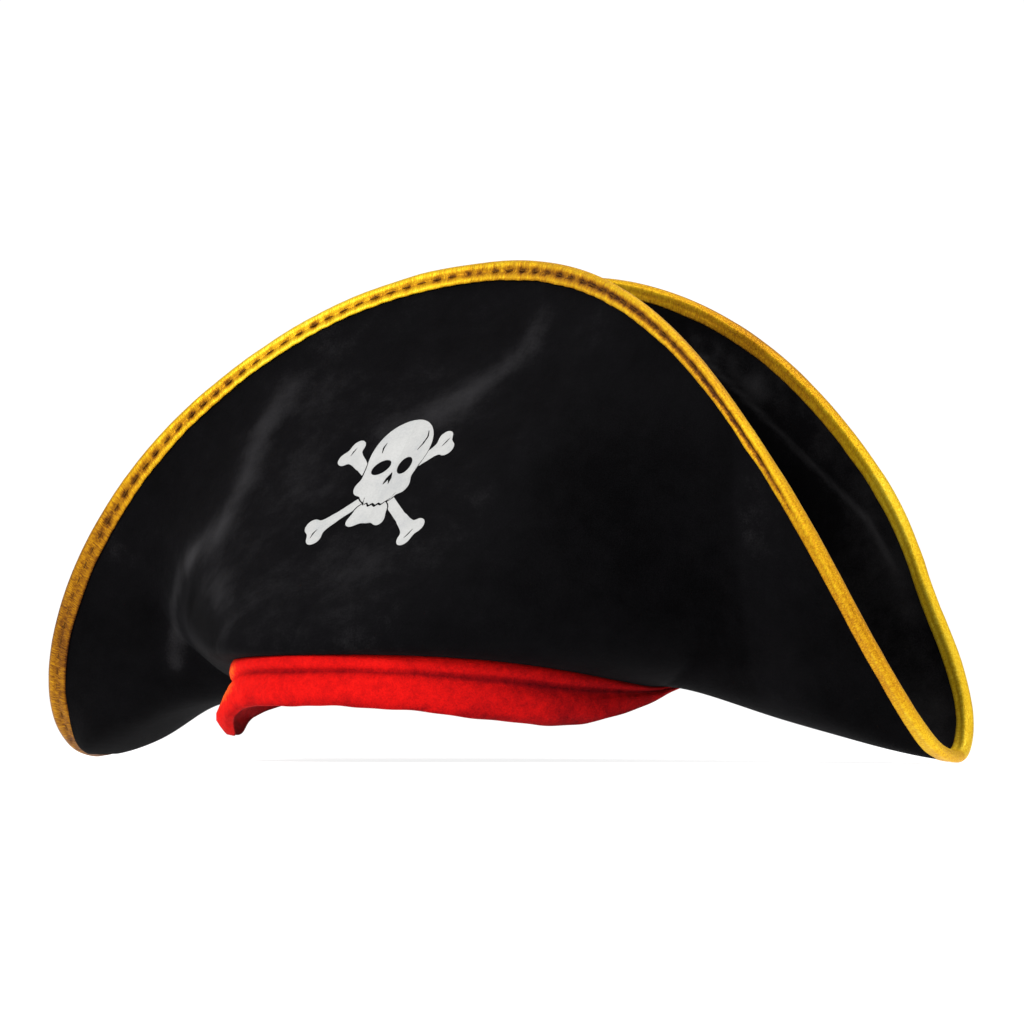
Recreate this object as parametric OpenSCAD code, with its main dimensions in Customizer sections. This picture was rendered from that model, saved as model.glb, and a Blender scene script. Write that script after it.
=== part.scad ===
// Soft velour costume pirate hat with turned-up front and back flaps.
// Millimetres. The origin is the centre of the head opening, on the plane of its lower rim.
// The front of the hat faces -Y, the tips point along +X and -X, and +Z is up.

/* [Brim outline] */
// Distance from tip to tip
hat_span = 400; // [380:1:425]
// Height of the front flap's top edge above the head opening
front_peak_z = 172; // [165:1:185]
// Height of the back flap's top edge above the head opening
back_peak_z = 172; // [165:1:185]
// How far the tips hang below the head opening
tip_drop = 15; // [8:1:20]
// How far the tips sit behind the middle of the head opening
tip_set_back = 7; // [3:0.5:10]
// Roundness of the edge as it leaves the tips
edge_power_x = 0.96; // [0.9:0.01:1.05]
// Roundness of the edge towards the peak
edge_power_z = 1.49; // [1.35:0.01:1.55]

/* [Front flap] */
// How far the front edge flares forward between the tip and the peak
front_flare = 46; // [38:0.5:50]
// Depth position of the front flap's peak
front_peak_y = 3; // [-2:0.5:6]
// Reach of the fold under the front flap
front_fold_reach = 20; // [17:0.5:22]
// Extra reach of the trough under the front flap between the opening and the tip
front_trough_reach = 46; // [40:0.5:52]
// How far the flap bows forward below its top edge
front_bow = 14; // [12:0.5:20]
// How far the front edge rolls forward near the tips, like a lip
lip_roll = 22; // [10:1:26]

/* [Back flap] */
// How quickly the back edge swings backward from the tips
back_fullness = 2.95; // [2.5:0.05:3.4]
// Depth position of the back flap's peak
back_peak_y = 49; // [44:0.5:56]
// Extra reach of the trough under the back flap between the opening and the tip
back_trough_reach = 32; // [28:0.5:38]
// How far the back flap bows outward below its top edge
back_bow = 12; // [8:0.5:18]
// How far the back flap bows outward near the tips
back_tip_bow = 36; // [20:1:42]

/* [Head opening] */
// Width of the head opening, side to side
opening_w = 162; // [156:0.5:168]
// Length of the head opening, front to back
opening_l = 200; // [196:0.5:206]
// Height of the brim seam above the rim at the front and the back
seam_z_front = 21; // [18:0.5:24]
// Height of the brim seam above the rim at the two sides
seam_z_side = 9.5; // [8:0.5:12]
// Height of the crown above the rim
crown_h = 86; // [80:0.5:88]

/* [Fabric layers] */
// Thickness of the velour on the outside of the brim
face_t = 1; // [0.8:0.1:1.3]
// Thickness of the felt stiffener
stiffener_t = 1.4; // [1:0.1:1.7]
// Thickness of the velour lining on the inside of the brim
lining_t = 1; // [0.8:0.1:1.3]
// Thickness of the crown velour
crown_t = 1.2; // [1:0.1:1.4]
// Thickness of the sweatband
sweatband_t = 1; // [0.8:0.1:1.2]
// Thickness of the red band
band_t = 2; // [1.6:0.1:2.2]

/* [Gold binding] */
// Width of the binding on each face of the brim
binding_w = 7.5; // [6:0.5:9]
// Thickness of the binding tape
binding_t = 0.8; // [0.6:0.1:1.1]
// Number of stitches along each half of the binding
binding_stitches = 44; // [36:1:60]
// Length of one stitch
stitch_len = 4.2; // [3:0.1:4.6]

/* [Skull print] */
// Width of the print across the bone ends
print_w = 51; // [40:0.5:52]
// Height of the print, measured upright
print_h = 50; // [44:0.5:52]
// Height of the middle of the print above the rim
print_z = 84.5; // [80:0.5:88]
// Thickness of the print film
print_t = 0.3; // [0.2:0.05:0.5]

/* [Flap tacks] */
// Thickness of a thread tack
tack_t = 1.6; // [1:0.1:2]
// How far each tack sits from the middle of the flap, as a share of its half width
tack_spread = 0.1; // [0.06:0.01:0.14]
// How high on the flap the tacks sit, as a share of its section
tack_v = 0.36; // [0.32:0.01:0.4]

/* [Hidden] */
half_span = hat_span / 2;
gap = 0.05;
brim_t = face_t + stiffener_t + lining_t;
rim_a = opening_w / 2;
rim_b = opening_l / 2;
crown_off = sweatband_t + crown_t;
ring_a = rim_a + crown_off + gap;
ring_b = rim_b + crown_off + gap;
corner_q = 0.42;
tip_q = 0.03;
steps_u = 26;
steps_v = 8;
eps = 0.004;

black = [0.07, 0.07, 0.08];
felt_grey = [0.25, 0.25, 0.26];
gold = [0.85, 0.62, 0.1];
red = [0.8, 0.05, 0.05];
white = [0.93, 0.93, 0.92];

// ---- small vector helpers ----

function unit(v) = v / norm(v);
function mix(a, b, t) = a + (b - a) * t;
function clamp01(t) = max(0, min(1, t));
function ease(t) = 0.5 - 0.5 * cos(180 * clamp01(t));

// ---- top edge of the two flaps ----
// q runs from 0 at the tip to 1 at the middle of the flap.
// side is -1 for the front flap and +1 for the back flap.

function front_edge_y(q) =
    mix(tip_set_back, front_peak_y, ease(q))
    - 2.437 * front_flare * pow(clamp01(q), 0.6) * pow(1 - clamp01(q) * clamp01(q), 2);
function back_edge_y(q) =
    mix(tip_set_back, back_peak_y, 1 - pow(1 - clamp01(q), back_fullness));
function edge_pt(q, side) =
    let (rise = (side < 0 ? front_peak_z : back_peak_z) + tip_drop)
    [
        half_span * pow(max(0, cos(90 * q)), edge_power_x),
        side < 0 ? front_edge_y(q) : back_edge_y(q),
        -tip_drop + rise * pow(max(0, sin(90 * q)), edge_power_z)
    ];

// ---- bottom of the flaps: along the trough, then around the head opening ----

function ring_angle(q) = 90 * clamp01((q - corner_q) / (1 - corner_q));
function ring_lift(s) = (sqrt(s * s + 0.012) - 0.11) / 0.896;
function seam_z(s) =
    seam_z_side + (seam_z_front - seam_z_side) * (1 - pow(1 - clamp01(ring_lift(s)), 1.6));
function trough_z(x) =
    -tip_drop + (seam_z_side + tip_drop) * pow(1 - ease((x - ring_a) / (half_span - ring_a)), 1.2);
function trough_slope(x) = trough_z(max(x, ring_a) + 0.5) - trough_z(max(x, ring_a) - 0.5);
function trough_pt(q) =
    let (x = mix(half_span, ring_a, q / corner_q))
    [x, tip_set_back * pow(max(0, (x - ring_a) / (half_span - ring_a)), 2), trough_z(x)];
function ring_pt(q, side) =
    let (a = ring_angle(q))
    [ring_a * cos(a), side * ring_b * sin(a), seam_z(sin(a))];
function base_pt(q, side) = q < corner_q ? trough_pt(q) : ring_pt(q, side);

// ---- section of a flap from its bottom to its top edge ----

function reach(q, side) =
    front_fold_reach * q * q
    + (side < 0 ? front_trough_reach : back_trough_reach)
        * pow(max(0, sin(180 * pow(clamp01(q), 0.62))), 0.8);
function reach_dir(q, side) =
    let (a = 50 * sin(180 * clamp01(q)))
    [sin(a), side * cos(a), trough_slope(base_pt(q, side)[0]) * sin(a)];
function hang(q, side) =
    let (k = ease((q - 0.3) / 0.55), h = norm(edge_pt(q, side) - base_pt(q, side)),
        bow = (side < 0 ? mix(-lip_roll, front_bow, k) : mix(back_tip_bow, back_bow, k)) / 184)
    h * [-0.33 * cos(90 * q), side * bow * ease(q / 0.12), -0.33 * sin(90 * q)];
function flap_pt(q, v, side) =
    let (
        p0 = base_pt(q, side),
        p1 = p0 + reach(q, side) * reach_dir(q, side),
        p3 = edge_pt(q, side),
        p2 = p3 + hang(q, side),
        w = 1 - v
    )
    w * w * w * p0 + 3 * w * w * v * p1 + 3 * w * v * v * p2 + v * v * v * p3;

// Unit normal that points into the hat, away from the outer velour.
function flap_normal(q, v, side) =
    let (
        qa = max(tip_q / 2, q - eps), qb = min(1, q + eps),
        va = max(0, v - eps), vb = min(1, v + eps),
        du = flap_pt(qb, v, side) - flap_pt(qa, v, side),
        dv = flap_pt(q, vb, side) - flap_pt(q, va, side),
        n = side * cross(dv, du)
    )
    abs(q - 1) < eps ? unit([0, n[1], n[2]]) : unit(n);

function mirrored(p, s) = [s * p[0], p[1], p[2]];

// Position along a flap: s runs from -1 at the left tip to +1 at the right tip.
function s_to_q(s) = max(tip_q, 1 - abs(s));
function flap_at(s, v, d, side) =
    let (q = s_to_q(s), k = s < 0 ? -1 : 1)
    mirrored(flap_pt(q, v, side) + d * flap_normal(q, v, side), k);

// ---- closed shell from two matching grids of points ----

// Flat stations bunch near the tips and near the fold, where the cloth turns fastest.
function s_station(i) =
    let (t = 2 * i / (2 * steps_u) - 1, m = 1 - tip_q)
    (t < 0 ? -1 : 1) * m * (1 - pow(1 - abs(t), 1.15));
function v_station(j) = pow(j / steps_v, 1.5);

module grid_shell(inner, outer) {
    rows = len(inner);
    cols = len(inner[0]);
    flat_in = [for (r = inner) for (p = r) p];
    flat_out = [for (r = outer) for (p = r) p];
    n = rows * cols;
    quads = [for (i = [0 : rows - 2]) for (j = [0 : cols - 2])
        [i * cols + j, i * cols + j + 1, (i + 1) * cols + j + 1, (i + 1) * cols + j]];
    loop = concat(
        [for (j = [0 : cols - 2]) j],
        [for (i = [0 : rows - 2]) i * cols + cols - 1],
        [for (j = [cols - 1 : -1 : 1]) (rows - 1) * cols + j],
        [for (i = [rows - 1 : -1 : 1]) i * cols]
    );
    m = len(loop);
    faces = concat(
        [for (f = quads) [f[0], f[1], f[2]]],
        [for (f = quads) [f[0], f[2], f[3]]],
        [for (f = quads) [n + f[0], n + f[2], n + f[1]]],
        [for (f = quads) [n + f[0], n + f[3], n + f[2]]],
        [for (i = [0 : m - 1]) [loop[i], n + loop[i], n + loop[(i + 1) % m]]],
        [for (i = [0 : m - 1]) [loop[i], n + loop[(i + 1) % m], loop[(i + 1) % m]]]
    );
    polyhedron(points = concat(flat_in, flat_out), faces = faces, convexity = 8);
}

module flap_layer(side, near, far) {
    a = [for (i = [0 : 2 * steps_u]) [for (j = [0 : steps_v])
        flap_at(s_station(i), v_station(j), near, side)]];
    b = [for (i = [0 : 2 * steps_u]) [for (j = [0 : steps_v])
        flap_at(s_station(i), v_station(j), far, side)]];
    if (side < 0) {
        grid_shell(a, b);
    }
    else {
        grid_shell(b, a);
    }
}

module brim_front_face() {
    color(black) flap_layer(-1, 0, face_t);
}

module brim_front_stiffener() {
    color(felt_grey) flap_layer(-1, face_t, face_t + stiffener_t);
}

module brim_front_lining() {
    color(black) flap_layer(-1, face_t + stiffener_t, brim_t);
}

module brim_back_face() {
    color(black) flap_layer(1, 0, face_t);
}

module brim_back_stiffener() {
    color(felt_grey) flap_layer(1, face_t, face_t + stiffener_t);
}

module brim_back_lining() {
    color(black) flap_layer(1, face_t + stiffener_t, brim_t);
}

// ---- gold binding: one tape folded over the whole edge, around both tips ----

// Point of the folded tape beside the cloth. out is the inward offset and depth the distance below
// the edge. It runs straight between the last two rows of the cloth, so that it lies against them.
function cloth_pt(q, v, side, out) = flap_pt(q, v, side) + out * flap_normal(q, v, side);
function tape_pt(q, side, out, depth) =
    let (
        low = v_station(steps_v - 1),
        a = cloth_pt(q, 1, side, out),
        b = cloth_pt(q, low, side, out),
        run = norm(flap_pt(q, 1, side) - flap_pt(q, low, side))
    )
    a + (b - a) * min(0.95, depth / run);
function tip_pt(out, depth) =
    edge_pt(0, -1) + out * unit([0.05, 0, 1]) + depth * unit([-1, 0, 0.05]);
function tape_ring(t) =
    // t runs 0 to 4: front right, back right, back left, front left, once around the edge
    let (
        leg = floor(t),
        f = t - leg,
        side = (leg == 0 || leg == 3) ? -1 : 1,
        k = leg < 2 ? 1 : -1,
        q = (leg % 2 == 0) ? 1 - f : f,
        m = clamp01(q / tip_q)
    )
    [for (c = binding_outline)
        mirrored(
            q >= tip_q
                ? tape_pt(q, side, c[0], c[1])
                : mix(tip_pt(c[0], c[1]), tape_pt(tip_q, side, c[0], c[1]), m),
            k
        )];

function leg_station(i, steps) =
    let (leg = floor(i / steps), f = i / steps - leg)
    leg + (leg % 2 == 0 ? 1 - pow(1 - f, 1.15) : pow(f, 1.15));

module loop_tube(rings) {
    n = len(rings);
    m = len(rings[0]);
    pts = [for (r = rings) for (p = r) p];
    faces = concat(
        [for (i = [0 : n - 1]) for (j = [0 : m - 1])
            [i * m + j, i * m + (j + 1) % m, ((i + 1) % n) * m + (j + 1) % m]],
        [for (i = [0 : n - 1]) for (j = [0 : m - 1])
            [i * m + j, ((i + 1) % n) * m + (j + 1) % m, ((i + 1) % n) * m + j]]
    );
    polyhedron(points = pts, faces = faces, convexity = 10);
}

// Outline of the folded tape, as [inward offset, depth into the cloth].
binding_outline = [
    [-binding_t - gap, binding_w],
    [-binding_t - gap, -0.4],
    [0, -binding_t - gap],
    [brim_t, -binding_t - gap],
    [brim_t + binding_t + gap, -0.4],
    [brim_t + binding_t + gap, binding_w],
    [brim_t + gap, binding_w],
    [brim_t + gap, -gap],
    [-gap, -gap],
    [-gap, binding_w]
];

module edge_binding() {
    steps = steps_u;
    rings = [for (i = [0 : 4 * steps - 1])
        tape_ring(leg_station(i, steps))];
    color(gold) loop_tube(rings);
}

// One short thread lying on the binding.
module thread_bar(a, b, n, w, h) {
    t = unit(b - a);
    s = unit(cross(n, t));
    u = n * h;
    pts = [
        a - s * w / 2, b - s * w / 2, b + s * w / 2, a + s * w / 2,
        a - s * w / 4 + u, b - s * w / 4 + u, b + s * w / 4 + u, a + s * w / 4 + u
    ];
    polyhedron(points = pts, faces = [
        [1, 2, 3], [0, 1, 3], [6, 5, 4], [7, 6, 4],
        [5, 1, 0], [4, 5, 0], [6, 2, 1], [5, 6, 1],
        [7, 3, 2], [6, 7, 2], [4, 0, 3], [7, 4, 3]
    ]);
}

module binding_stitching() {
    color(gold)
    for (k = [-1, 1]) {
        for (i = [1 : binding_stitches]) {
            q = mix(0.09, 0.985, i / binding_stitches);
            dq = stitch_len / 2 / 330;
            for (side = [-1, 1]) {
                lift = -binding_t - 3 * gap;
                a = tape_pt(q + dq, side, lift, 0.45 * binding_w);
                b = tape_pt(q - dq, side, lift, 0.45 * binding_w);
                n = -flap_normal(q, 0.97, side);
                thread_bar(mirrored(a, k), mirrored(b, k), mirrored(n, k), 0.7, 0.4);
            }
        }
    }
}

// ---- crown: a low soft dome in two halves ----

crown_power = 1.33;
crown_steps_a = 24;
crown_steps_v = 9;

function crown_pt(a, v, off, side) =
    let (
        h = crown_h - off,
        z0 = seam_z(sin(a)),
        r = pow(max(0, 1 - pow(v, crown_power)), 1 / crown_power),
        ra = rim_a + crown_off - off,
        rb = rim_b + crown_off - off
    )
    [ra * r * cos(a), side * rb * r * sin(a), mix(z0, h, v)];

function crown_grid(off, side) =
    // The last row stops just short of the top so that the shell keeps a true edge there.
    [for (i = [0 : crown_steps_a])
        [for (j = [0 : crown_steps_v])
            let (v = min(0.9996, 1 - pow(1 - j / crown_steps_v, 1.6)))
            crown_pt(180 * i / crown_steps_a, v, off, side)]];

module crown_half(side) {
    outer = crown_grid(0, side);
    inner = crown_grid(crown_t, side);
    if (side < 0) {
        grid_shell(inner, outer);
    }
    else {
        grid_shell(outer, inner);
    }
}

module crown_front_panel() {
    color(black) crown_half(-1);
}

module crown_back_panel() {
    color(black) crown_half(1);
}

// ---- bands around the head opening ----

module oval_band(off, t, z_low) {
    steps = 72;
    rings = [for (i = [0 : steps - 1])
        let (
            a = 360 * i / steps,
            c = cos(a),
            s = sin(a),
            top = seam_z(abs(s)) - gap,
            in_a = rim_a + off,
            in_b = rim_b + off
        )
        [
            [in_a * c, in_b * s, z_low],
            [(in_a + t) * c, (in_b + t) * s, z_low],
            [(in_a + t) * c, (in_b + t) * s, top],
            [in_a * c, in_b * s, top]
        ]];
    loop_tube(rings);
}

module sweatband() {
    color(black) oval_band(0, sweatband_t - gap, 1);
}

module red_band() {
    color(red) oval_band(sweatband_t, band_t, 0);
}

// ---- skull and crossbones print, a thin film on the front flap ----

// The drawing is made 100 wide and 90 high, then scaled to the print's own size.
module bone(a) {
    rotate(a) {
        square([106, 8], center = true);
        for (e = [-1, 1]) {
            for (k = [-1, 1]) {
                translate([e * 51, k * 5.2]) circle(r = 6.2, $fn = 20);
            }
        }
    }
}

module skull_outline() {
    translate([0, 17]) scale([1, 1.03]) circle(r = 28, $fn = 40);
    translate([0, -6]) square([37, 24], center = true);
    translate([0, -28]) square([26, 26], center = true);
    for (k = [-1, 1]) {
        translate([k * 19, 0]) circle(r = 8, $fn = 18);
        translate([k * 9, -37]) circle(r = 6.5, $fn = 18);
    }
}

module skull_holes() {
    for (k = [-1, 1]) {
        translate([k * 11.5, 9]) circle(r = 7.5, $fn = 20);
    }
    polygon([[0, 1], [4.5, -8], [-4.5, -8]]);
    translate([0, -21]) square([24, 2], center = true);
    for (i = [-1 : 1]) {
        translate([i * 6.5, -21]) square([1.6, 8], center = true);
    }
}

module print_outline() {
    scale([print_w / 100, print_h / 90]) {
        difference() {
            union() {
                difference() {
                    union() {
                        bone(37);
                        bone(-37);
                    }
                    translate([0, 4]) circle(r = 32, $fn = 36);
                }
                skull_outline();
            }
            skull_holes();
        }
    }
}

// The film uses the same stations as the velour below it, so it lies flat on every facet.
module print_patch() {
    near = -gap;
    far = -gap - print_t;
    a = [for (i = [steps_u - 4 : steps_u + 4]) [for (j = [2 : steps_v - 1])
        flap_at(s_station(i), v_station(j), far, -1)]];
    b = [for (i = [steps_u - 4 : steps_u + 4]) [for (j = [2 : steps_v - 1])
        flap_at(s_station(i), v_station(j), near, -1)]];
    grid_shell(a, b);
}

module skull_print() {
    color(white)
    intersection() {
        print_patch();
        translate([0, 0, print_z])
            rotate([90, 0, 0])
                linear_extrude(height = 2 * ring_b)
                    print_outline();
    }
}

// ---- hidden thread tacks that hold the flaps to the crown ----

// Signed measure of a point against the crown: above zero outside it, below zero inside.
function crown_side(p) =
    let (
        ra = rim_a + crown_off,
        rb = rim_b + crown_off,
        z0 = seam_z(sin(atan2(abs(p[1]) / rb, abs(p[0]) / ra))),
        v = clamp01((p[2] - z0) / (crown_h - z0))
    )
    norm([p[0] / ra, p[1] / rb]) - pow(1 - pow(v, crown_power), 1 / crown_power);
function crown_reach(p, n, near, far, turns) =
    let (m = (near + far) / 2)
    turns == 0
        ? m
        : crown_side(p + m * n) > 0
            ? crown_reach(p, n, m, far, turns - 1)
            : crown_reach(p, n, near, m, turns - 1);

module tacks(side) {
    for (s = [-tack_spread, tack_spread]) {
        k = s < 0 ? -1 : 1;
        q = s_to_q(s);
        p = flap_pt(q, tack_v, side) + (brim_t + gap) * flap_normal(q, tack_v, side);
        n = flap_normal(q, tack_v, side);
        span = crown_reach(p, n, 0, 30, 20);
        a = mirrored(p, k);
        b = mirrored(p + (span - gap) * n, k);
        thread_bar(a, b, [k, 0, 0], tack_t, tack_t);
    }
}

module front_flap_tacks() {
    color(black) tacks(-1);
}

module back_flap_tacks() {
    color(black) tacks(1);
}

brim_front_face();
brim_front_stiffener();
brim_front_lining();
brim_back_face();
brim_back_stiffener();
brim_back_lining();
edge_binding();
binding_stitching();
crown_front_panel();
crown_back_panel();
sweatband();
red_band();
skull_print();
front_flap_tacks();
back_flap_tacks();
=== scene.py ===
"""Looks of a soft velour costume pirate hat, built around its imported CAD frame."""

import math

import bmesh
import bpy
import numpy as np
from mathutils import Matrix, Vector


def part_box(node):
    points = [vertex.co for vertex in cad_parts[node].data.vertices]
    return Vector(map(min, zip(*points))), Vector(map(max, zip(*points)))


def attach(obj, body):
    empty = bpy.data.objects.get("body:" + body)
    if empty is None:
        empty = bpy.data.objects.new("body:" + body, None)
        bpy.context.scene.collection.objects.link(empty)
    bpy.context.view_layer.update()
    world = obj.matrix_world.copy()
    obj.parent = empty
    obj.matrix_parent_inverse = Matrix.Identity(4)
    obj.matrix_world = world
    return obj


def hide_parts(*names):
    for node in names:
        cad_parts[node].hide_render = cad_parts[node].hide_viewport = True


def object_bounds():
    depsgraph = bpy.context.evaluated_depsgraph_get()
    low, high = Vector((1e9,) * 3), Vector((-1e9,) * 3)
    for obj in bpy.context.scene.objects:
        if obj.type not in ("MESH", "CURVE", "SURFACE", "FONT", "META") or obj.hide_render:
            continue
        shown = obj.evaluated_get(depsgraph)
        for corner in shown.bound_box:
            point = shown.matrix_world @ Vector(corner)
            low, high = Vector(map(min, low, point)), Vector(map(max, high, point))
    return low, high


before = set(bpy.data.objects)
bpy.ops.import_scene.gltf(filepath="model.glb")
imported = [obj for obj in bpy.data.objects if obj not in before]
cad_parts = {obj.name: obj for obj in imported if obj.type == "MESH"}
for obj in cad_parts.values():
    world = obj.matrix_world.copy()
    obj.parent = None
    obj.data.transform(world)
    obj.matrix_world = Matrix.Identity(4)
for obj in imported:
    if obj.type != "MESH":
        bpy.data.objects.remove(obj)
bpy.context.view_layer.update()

MM = 0.001

# ==== Driving sizes in millimetres, read from the frame ====


def box_mm(node):
    return [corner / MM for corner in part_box(node)]


FACE_LOW, FACE_HIGH = box_mm("brim_front_face")
CROWN_LOW, CROWN_HIGH = box_mm("crown_front_panel")
PRINT_LOW, PRINT_HIGH = box_mm("skull_print")
BAND_HIGH = box_mm("red_band")[1]
SWEAT_HIGH = box_mm("sweatband")[1]

# How far the red band, the seam of the brim and the crown stand out from the rim of the opening
BAND_PROUD = 3
RING_PROUD = 2.25
CROWN_PROUD = 2.2

HALF = round(FACE_HIGH.x * 1.001)
PEAK_Z = round(FACE_HIGH.z)
TIP_DROP = round(-FACE_LOW.z)
RIM_A = round(BAND_HIGH.x) - BAND_PROUD
RIM_B = round(BAND_HIGH.y) - BAND_PROUD
SEAM_FRONT = round(BAND_HIGH.z)
SEAM_SIDE = round(CROWN_LOW.z * 2) / 2
CROWN_H = round(CROWN_HIGH.z)
RING_A = RIM_A + RING_PROUD
RING_B = RIM_B + RING_PROUD

# Shape of the two flaps, as in the frame
TIP_BACK = 7.0
FRONT_FLARE = 46.0
FLARE_SCALE = 2.437  # brings the greatest value of the flare's curve to 1
FRONT_PEAK_Y = 3.0
FRONT_REACH = 20.0
FRONT_TROUGH = 46.0
FRONT_BOW = 14.0
LIP_ROLL = 22.0
BACK_FULL = 2.95
BACK_PEAK_Y = 49.0
BACK_TROUGH = 32.0
BACK_BOW = 12.0
BACK_TIP_BOW = 36.0
BOW_HEIGHT = 184.0  # flap height that the bows are given for
EDGE_POWER_X = 0.96
EDGE_POWER_Z = 1.49
CROWN_POWER = 1.33
CORNER = 0.42
TIP_Q = 0.02

# Cloth thicknesses
FACE_T = 1.0
FELT_T = 1.4
LINING_T = 1.0
BRIM_T = FACE_T + FELT_T + LINING_T
CROWN_T = 1.2
GAP = 0.05

# Binding tape
TAPE_W = 7.5
TAPE_CREST = 1.0
GROOVE_AT = 0.47
STITCH_PITCH = 7.0
STITCH_LEN = 4.2
PRESSED = 0.55  # share of the brim's thickness left under the tape
EDGE_T = BRIM_T * PRESSED

FRONT = -1
BACK = 1


# ==== Small number helpers, all working on arrays ====

def mix(a, b, t):
    return a + (b - a) * t


def clamp(t):
    return np.clip(t, 0.0, 1.0)


def ease(t):
    return 0.5 - 0.5 * np.cos(np.pi * clamp(t))


def sin_d(a):
    return np.sin(np.radians(a))


def cos_d(a):
    return np.cos(np.radians(a))


def unit(v):
    return v / np.maximum(1e-9, np.linalg.norm(v, axis=-1, keepdims=True))


def bell(x, width):
    return np.exp(-((x / width) ** 2))


def stack(x, y, z):
    return np.stack(np.broadcast_arrays(x, y, z), axis=-1)


def lattice(ix, iy, iz, seed):
    """Repeatable pseudo-random value from 0 to 1 at each whole-number point."""
    n = (ix * 374761393 + iy * 668265263 + iz * 2147483647 + seed * 974634777) & 0xFFFFFFFF
    n = ((n ^ (n >> 13)) * 1274126177) & 0xFFFFFFFF
    return ((n ^ (n >> 16)) & 0xFFFF) / 65535.0


def noise(p, size, seed=1):
    """Smooth value noise from -1 to 1 with features about size millimetres wide."""
    g = p / size
    i = np.floor(g).astype(np.int64)
    f = g - i
    f = f * f * (3 - 2 * f)
    total = 0.0
    for corner in np.ndindex(2, 2, 2):
        w = np.where(corner, f, 1 - f)
        n = i + corner
        total = total + w[..., 0] * w[..., 1] * w[..., 2] * lattice(n[..., 0], n[..., 1], n[..., 2], seed)
    return 2 * total - 1


# ==== Shape of the flaps ====
# s runs from -1 at the left tip to +1 at the right tip, v from 0 at the
# bottom of the flap to 1 at its top edge

def front_edge_y(q):
    return mix(TIP_BACK, FRONT_PEAK_Y, ease(q)) - FLARE_SCALE * FRONT_FLARE * q**0.6 * (1 - q * q) ** 2


def back_edge_y(q):
    return mix(TIP_BACK, BACK_PEAK_Y, 1 - (1 - q) ** BACK_FULL)


def edge_point(q, side):
    y = front_edge_y(q) if side == FRONT else back_edge_y(q)
    x = HALF * np.maximum(0, cos_d(90 * q)) ** EDGE_POWER_X
    z = -TIP_DROP + (PEAK_Z + TIP_DROP) * np.maximum(0, sin_d(90 * q)) ** EDGE_POWER_Z
    return stack(x, y, z)


def ring_lift(s):
    return (np.sqrt(s * s + 0.012) - 0.11) / 0.896


def seam_z(s):
    return SEAM_SIDE + (SEAM_FRONT - SEAM_SIDE) * (1 - (1 - clamp(ring_lift(s))) ** 1.6)


def trough_z(x):
    t = (x - RING_A) / (HALF - RING_A)
    return -TIP_DROP + (SEAM_SIDE + TIP_DROP) * (1 - ease(t)) ** 1.2


def trough_slope(x):
    x = np.maximum(x, RING_A)
    return trough_z(x + 0.5) - trough_z(x - 0.5)


def base_point(q, side):
    x = mix(HALF, RING_A, q / CORNER)
    t = np.maximum(0, (x - RING_A) / (HALF - RING_A))
    trough = stack(x, TIP_BACK * t**2, trough_z(x))
    a = 90 * clamp((q - CORNER) / (1 - CORNER))
    ring = stack(RING_A * cos_d(a), side * RING_B * sin_d(a), seam_z(sin_d(a)))
    return np.where((q < CORNER)[..., None], trough, ring)


def flap_half(q, v, side):
    """Point of the outer velour on the right half of a flap."""
    q, v = np.broadcast_arrays(np.asarray(q, float), np.asarray(v, float))
    q = clamp(q)
    foot, top = base_point(q, side), edge_point(q, side)
    trough = FRONT_TROUGH if side == FRONT else BACK_TROUGH
    reach = FRONT_REACH * q * q + trough * np.maximum(0, np.sin(np.pi * q**0.62)) ** 0.8
    a = 50 * sin_d(180 * q)
    slope = trough_slope(foot[..., 0])
    reach_dir = stack(sin_d(a), side * cos_d(a), slope * sin_d(a))
    k = ease((q - 0.3) / 0.55)
    bow = mix(-LIP_ROLL, FRONT_BOW, k) if side == FRONT else mix(BACK_TIP_BOW, BACK_BOW, k)
    height = np.linalg.norm(top - foot, axis=-1)
    sway = side * bow / BOW_HEIGHT * ease(q / 0.12)
    hang = height[..., None] * stack(-0.33 * cos_d(90 * q), sway, -0.33 * sin_d(90 * q))
    low, high = foot + reach[..., None] * reach_dir, top + hang
    w, t = (1 - v)[..., None], v[..., None]
    return w**3 * foot + 3 * w * w * t * low + 3 * w * t * t * high + t**3 * top


def flap_raw(s, v, side):
    p = flap_half(1 - np.abs(s), v, side)
    sign = np.where(np.broadcast_to(s, p.shape[:-1]) < 0, -1.0, 1.0)
    return stack(sign * p[..., 0], p[..., 1], p[..., 2])


def flap_out(s, v, side):
    """Unit normal of a flap that points out of the hat."""
    e = 0.003
    lim = 1 - TIP_Q / 2
    du = flap_raw(np.minimum(s + e, lim), v, side) - flap_raw(np.maximum(s - e, -lim), v, side)
    dv = flap_raw(s, np.minimum(v + e, 1.0), side) - flap_raw(s, np.maximum(v - e, 0.0), side)
    return unit(-side * np.cross(du, dv))


def line_distance(p, route):
    """Distance from points to a route drawn in the XZ plane, and the share of the route passed."""
    best, along = np.inf, 0.0
    legs = len(route) - 1
    for i in range(legs):
        a, b = np.array(route[i], float), np.array(route[i + 1], float)
        d = b - a
        w = np.stack([p[..., 0] - a[0], p[..., 2] - a[1]], axis=-1)
        t = clamp((w @ d) / (d @ d))
        dist = np.linalg.norm(w - t[..., None] * d, axis=-1)
        closer = dist < best
        best, along = np.where(closer, dist, best), np.where(closer, (i + t) / legs, along)
    return best, along


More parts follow.
